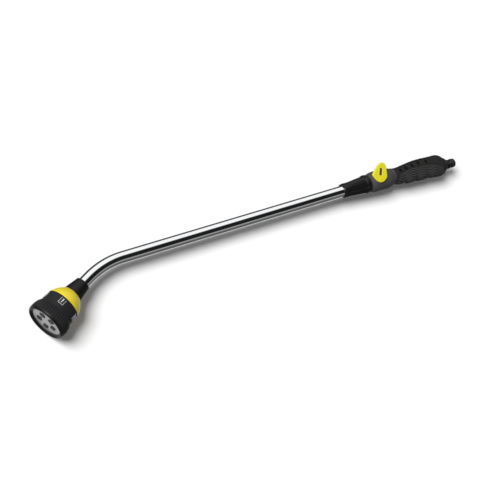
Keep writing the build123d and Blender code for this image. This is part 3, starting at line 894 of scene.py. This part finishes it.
@lru_cache(maxsize=None)
def angle_at_height(station, height):
    """Angle on the grip's side at which its surface has this height."""
    low, high = 0.05, pi - 0.05
    for _ in range(24):
        middle = (low + high) / 2
        if grip_point(station, middle).x > height:
            low = middle
        else:
            high = middle
    return (low + high) / 2


@lru_cache(maxsize=None)
def angle_at_width(station, width):
    """Angle on the grip's underside at which its surface is this far from the middle."""
    low, high = pi / 2, pi
    for _ in range(24):
        middle = (low + high) / 2
        if grip_point(station, middle).y > width:
            low = middle
        else:
            high = middle
    return (low + high) / 2


# ---- hose end ----------------------------------------------------------------

def build_grip_end_ring(sizes):
    """Tapered ring that closes the sleeve; its hole sits lower than its rim."""
    drop = 6 * MM

    def lowered(reach, angle, station):
        share = 1 - smooth_step(7.2 * MM, 11 * MM, reach)
        return Vector((reach * cos(angle) - drop - 2 * MM * share, reach * sin(angle), station))

    slope = arc((13.5, 226.05), (12.6, 230.2), (9.6, 233.6), 8)
    profile = [*slope, (8.6, 234.0), (7.05, 234.0), (7.05, 226.05)]
    bm = turned(softened(profile, 0.4, 3), WAND, 96, lowered)
    piece(bm, "grip_end_skin", "wand", finish("black_plastic"), ("grip_end_ring",))


def build_hose_spigot(sizes):
    """Quick-connect spigot: neck, locking bead, groove and a sealing nose with its ring groove."""
    tip = 254.0
    profile = [(6.0, 214.0), (8.2, 214.0), (8.2, 226.0), (7.0, 226.0), (7.0, tip - 17), (7.5, tip - 16.7),
               (8.6, tip - 16.2), (8.6, tip - 14.2), (7.0, tip - 13.2), (6.9, tip - 11), (7.9, tip - 10.2),
               (8.0, tip - 7.3), (6.8, tip - 7.2), (6.8, tip - 4.8), (8.0, tip - 4.7), (8.0, tip - 1.2),
               (7.2, tip), (5.4, tip), (5.0, tip - 0.5), (5.0, 223.0), (6.0, 223.0)]
    bm = turned(softened(profile, 0.35, 4), HOSE, 96)
    piece(bm, "hose_spigot_skin", "wand", finish("black_gloss"), ("hose_spigot",))


# ---- stage -------------------------------------------------------------------

def build_floor():
    """White floor that takes the shadow and that glossy parts don't see."""
    bm = bmesh.new()
    bmesh.ops.create_grid(bm, x_segments=1, y_segments=1, size=6.0)
    mesh = bpy.data.meshes.new("floor")
    bm.to_mesh(mesh)
    bm.free()
    material = bare_material("floor_white", Base_Color=(0.9, 0.9, 0.9, 1), Roughness=0.9,
                             Specular_IOR_Level=0.1)[0]
    mesh.materials.append(material)
    floor = bpy.data.objects.new("floor", mesh)
    floor.visible_glossy = False
    bpy.context.scene.collection.objects.link(floor)


def build_key_light(stage):
    """Wide soft light from above the spray head, on the lever's side."""
    lamp = bpy.data.lights.new("key_light", "SUN")
    lamp.angle = stage.key_softness
    lamp.energy = stage.key_power
    away = Vector((-0.76, 0.44, 1.0)).normalized()
    light = bpy.data.objects.new("key_light", lamp)
    light.rotation_euler = away.to_track_quat("Z", "Y").to_euler()
    light.visible_camera = False
    bpy.context.scene.collection.objects.link(light)


def world_ramp(tree, source, stops):
    """Colour ramp over -1 to 1 from (value, grey) stops."""
    scaled = maths(tree, "MULTIPLY_ADD", source, 0.5)
    scaled.node.inputs[2].default_value = 0.5
    ramp = tree.nodes.new("ShaderNodeValToRGB")
    elements = ramp.color_ramp.elements
    while len(elements) < len(stops):
        elements.new(0.5)
    for element, (value, grey) in zip(elements, stops):
        element.position = value * 0.5 + 0.5
        element.color = (grey, grey, grey, 1)
    tree.links.new(scaled, ramp.inputs["Fac"])
    return ramp.outputs["Color"]


def build_world(stage):
    """Studio: even light for matt parts, and for glossy ones long panels that run beside the tube."""
    world = bpy.data.worlds.new("studio")
    world.use_nodes = True
    tree = world.node_tree
    place = tree.nodes.new("ShaderNodeTexCoord").outputs["Generated"]
    split = tree.nodes.new("ShaderNodeSeparateXYZ")
    tree.links.new(place, split.inputs[0])
    turn = maths(tree, "ARCTAN2", split.outputs["Y"], split.outputs["Z"])
    across = maths(tree, "SINE", maths(tree, "MULTIPLY", turn, 0.5), 0)
    panels = world_ramp(tree, across, [
        (-1.0, 0.9), (-0.96, 0.8), (-0.93, 0.10), (-0.62, 0.12), (-0.56, 0.34), (-0.46, 0.34), (-0.38, 0.015),
        (0.17, 0.01), (0.27, 1.0), (0.70, 1.0), (0.77, 0.06), (0.95, 0.06), (1.0, 0.9)])
    path = tree.nodes.new("ShaderNodeLightPath")
    shown = panels
    for ray, grey in (("Is Diffuse Ray", stage.wall_strength), ("Is Camera Ray", 1.0)):
        mix = tree.nodes.new("ShaderNodeMix")
        mix.data_type = "RGBA"
        tree.links.new(path.outputs[ray], mix.inputs["Factor"])
        tree.links.new(shown, mix.inputs["A"])
        mix.inputs["B"].default_value = (grey, grey, grey, 1)
        shown = mix.outputs["Result"]
    tree.links.new(shown, tree.nodes["Background"].inputs["Color"])
    bpy.context.scene.world = world


def build_camera(stage):
    """Camera above the spray head's end, rolled so that the wand climbs to the right."""
    back = Vector((-cos(stage.elevation) * cos(stage.azimuth), -cos(stage.elevation) * sin(stage.azimuth),
                   sin(stage.elevation)))
    level_right = Vector((0, 0, 1)).cross(back).normalized()
    level_up = back.cross(level_right)
    right = level_right * cos(stage.roll) + level_up * sin(stage.roll)
    up = level_up * cos(stage.roll) - level_right * sin(stage.roll)
    target = WAND @ Vector((stage.target_y, 0, stage.target_x))
    lens = bpy.data.cameras.new("camera")
    lens.lens = stage.lens
    lens.sensor_width = 36.0
    lens.shift_x, lens.shift_y = PICTURE_SHIFT
    camera = bpy.data.objects.new("camera", lens)
    turn = Matrix((right, up, back)).transposed().to_4x4()
    camera.matrix_world = Matrix.Translation(target + back * stage.distance) @ turn
    bpy.context.scene.collection.objects.link(camera)
    bpy.context.scene.camera = camera


# ---- add-on ------------------------------------------------------------------

class WandSizes(bpy.types.PropertyGroup):
    """Sizes of the detail that a user may change."""
    tube_radius: bpy.props.FloatProperty(name="Tube radius", description="Outer radius of the chrome tube",
                                         default=10 * MM, unit="LENGTH")
    tube_wall: bpy.props.FloatProperty(name="Tube wall", description="Wall thickness of the chrome tube",
                                       default=1 * MM, unit="LENGTH")
    bend_radius: bpy.props.FloatProperty(name="Bend radius", description="Centreline radius of the tube's bend",
                                         default=150 * MM, unit="LENGTH")
    rib_count: bpy.props.IntProperty(name="Selector ribs", description="Ribs round the selector ring", default=48)
    rib_depth: bpy.props.FloatProperty(name="Rib depth", description="Depth of the hollows between the ribs",
                                       default=1.3 * MM, unit="LENGTH")
    panel_count: bpy.props.IntProperty(name="Ferrule panels", description="Flat panels round the union nut",
                                       default=8)
    lever_face: bpy.props.FloatProperty(name="Lever face", description="Lever's rim from the middle of the wand",
                                        default=21.6 * MM, unit="LENGTH")
    lever_edge: bpy.props.FloatProperty(name="Lever edge", description="Width of the bevel round the lever",
                                        default=1.3 * MM, unit="LENGTH")
    pad_rib: bpy.props.FloatProperty(name="Pad ribs", description="Depth between the pad's ribs, in millimetres",
                                     default=1.3)


class WandColours(bpy.types.PropertyGroup):
    """Colours of the wand's mouldings."""
    yellow: bpy.props.FloatVectorProperty(name="Yellow", description="Cone and lever", subtype="COLOR", size=3,
                                          default=(0.66, 0.59, 0.015))
    black: bpy.props.FloatVectorProperty(name="Black", description="Hard black plastic", subtype="COLOR",
                                         size=3, default=(0.005, 0.005, 0.0054))
    grip: bpy.props.FloatVectorProperty(name="Grip", description="Soft grip", subtype="COLOR", size=3,
                                        default=(0.013, 0.013, 0.0127))
    marking: bpy.props.FloatVectorProperty(name="Markings", description="Pattern marks on the ring",
                                           subtype="COLOR", size=3, default=(0.62, 0.63, 0.64))


class WandStage(bpy.types.PropertyGroup):
    """Camera and studio light."""
    lens: bpy.props.FloatProperty(name="Lens", description="Focal length in millimetres", default=120.9)
    distance: bpy.props.FloatProperty(name="Distance", description="Camera to the wand", default=2.699,
                                      unit="LENGTH")
    elevation: bpy.props.FloatProperty(name="Elevation", description="Camera above the floor",
                                       default=radians(59.5), subtype="ANGLE")
    azimuth: bpy.props.FloatProperty(name="Azimuth", description="Camera round the wand",
                                     default=radians(0.26), subtype="ANGLE")
    roll: bpy.props.FloatProperty(name="Roll", description="Camera turned about its view",
                                  default=radians(72.67), subtype="ANGLE")
    target_x: bpy.props.FloatProperty(name="Target along", description="Aim point from the ferrule's face",
                                      default=-0.2263, unit="LENGTH")
    target_y: bpy.props.FloatProperty(name="Target across", description="Aim point beside the tube's axis",
                                      default=-0.0277, unit="LENGTH")
    key_power: bpy.props.FloatProperty(name="Key light", description="Strength of the key light", default=4.1)
    key_softness: bpy.props.FloatProperty(name="Key softness", description="Angle that the key light fills",
                                          default=radians(24), subtype="ANGLE")
    wall_strength: bpy.props.FloatProperty(name="Even light", description="Light from all round on matt parts",
                                           default=0.17)


def built(context, *builders):
    """Run each builder with the wand's sizes."""
    for build in builders:
        build(context.scene.wand_sizes)
    return {"FINISHED"}


class WAND_OT_finishes(bpy.types.Operator):
    """Make the finishes and give them to the frame's own parts"""
    bl_idname = "wand.finishes"
    bl_label = "Finishes"

    def execute(self, context):
        make_finishes(context.scene.wand_colours)
        paint_frame_parts()
        return {"FINISHED"}


class WAND_OT_tube(bpy.types.Operator):
    """Build the chrome tube"""
    bl_idname = "wand.tube"
    bl_label = "Tube"

    def execute(self, context):
        return built(context, build_lance_tube)


class WAND_OT_head(bpy.types.Operator):
    """Build the fixed and the turning part of the spray head"""
    bl_idname = "wand.head"
    bl_label = "Spray head"

    def execute(self, context):
        return built(context, build_collar_nut, build_head_cone, build_selector_ring, build_face_bezel,
                     build_window_frames, build_spray_tips, build_pattern_marks)


class WAND_OT_valve(bpy.types.Operator):
    """Build the ferrule and the valve body"""
    bl_idname = "wand.valve"
    bl_label = "Ferrule and valve"

    def execute(self, context):
        return built(context, build_ferrule_nut, build_valve_housing)


class WAND_OT_lever(bpy.types.Operator):
    """Build the flow lever with its inlay"""
    bl_idname = "wand.lever"
    bl_label = "Lever"

    def execute(self, context):
        return built(context, build_flow_lever, build_lever_badge)


class WAND_OT_grip(bpy.types.Operator):
    """Build the soft sleeve and its side pads"""
    bl_idname = "wand.grip"
    bl_label = "Grip"

    def execute(self, context):
        return built(context, build_grip_sleeve, build_grip_pads)


class WAND_OT_hose_end(bpy.types.Operator):
    """Build the end ring and the hose spigot"""
    bl_idname = "wand.hose_end"
    bl_label = "Hose end"

    def execute(self, context):
        return built(context, build_grip_end_ring, build_hose_spigot)


class WAND_OT_stage(bpy.types.Operator):
    """Build the floor, the light and the camera"""
    bl_idname = "wand.stage"
    bl_label = "Stage"

    def execute(self, context):
        stage = context.scene.wand_stage
        build_floor()
        build_key_light(stage)
        build_world(stage)
        build_camera(stage)
        context.scene.view_settings.view_transform = "Standard"
        return {"FINISHED"}


STEPS = (WAND_OT_finishes, WAND_OT_tube, WAND_OT_head, WAND_OT_valve, WAND_OT_lever, WAND_OT_grip,
         WAND_OT_hose_end, WAND_OT_stage)


class WAND_PT_panel(bpy.types.Panel):
    """Sizes, colours and build steps of the wand"""
    bl_idname = "WAND_PT_panel"
    bl_label = "Watering wand"
    bl_space_type = "VIEW_3D"
    bl_region_type = "UI"
    bl_category = "Wand"

    def draw(self, context):
        scene = context.scene
        for group in (scene.wand_sizes, scene.wand_colours, scene.wand_stage):
            box = self.layout.box()
            for name in group.__annotations__:
                box.prop(group, name)
        for step in STEPS:
            self.layout.operator(step.bl_idname)


CLASSES = (WandSizes, WandColours, WandStage, *STEPS, WAND_PT_panel)


def register():
    for item in CLASSES:
        bpy.utils.register_class(item)
    bpy.types.Scene.wand_sizes = bpy.props.PointerProperty(type=WandSizes)
    bpy.types.Scene.wand_colours = bpy.props.PointerProperty(type=WandColours)
    bpy.types.Scene.wand_stage = bpy.props.PointerProperty(type=WandStage)


def unregister():
    del bpy.types.Scene.wand_stage
    del bpy.types.Scene.wand_colours
    del bpy.types.Scene.wand_sizes
    for item in reversed(CLASSES):
        bpy.utils.unregister_class(item)


def main():
    register()
    bpy.ops.wand.finishes()
    bpy.ops.wand.tube()
    bpy.ops.wand.head()
    bpy.ops.wand.valve()
    bpy.ops.wand.lever()
    bpy.ops.wand.grip()
    bpy.ops.wand.hose_end()
    bpy.ops.wand.stage()


if __name__ == "__main__":
    main()
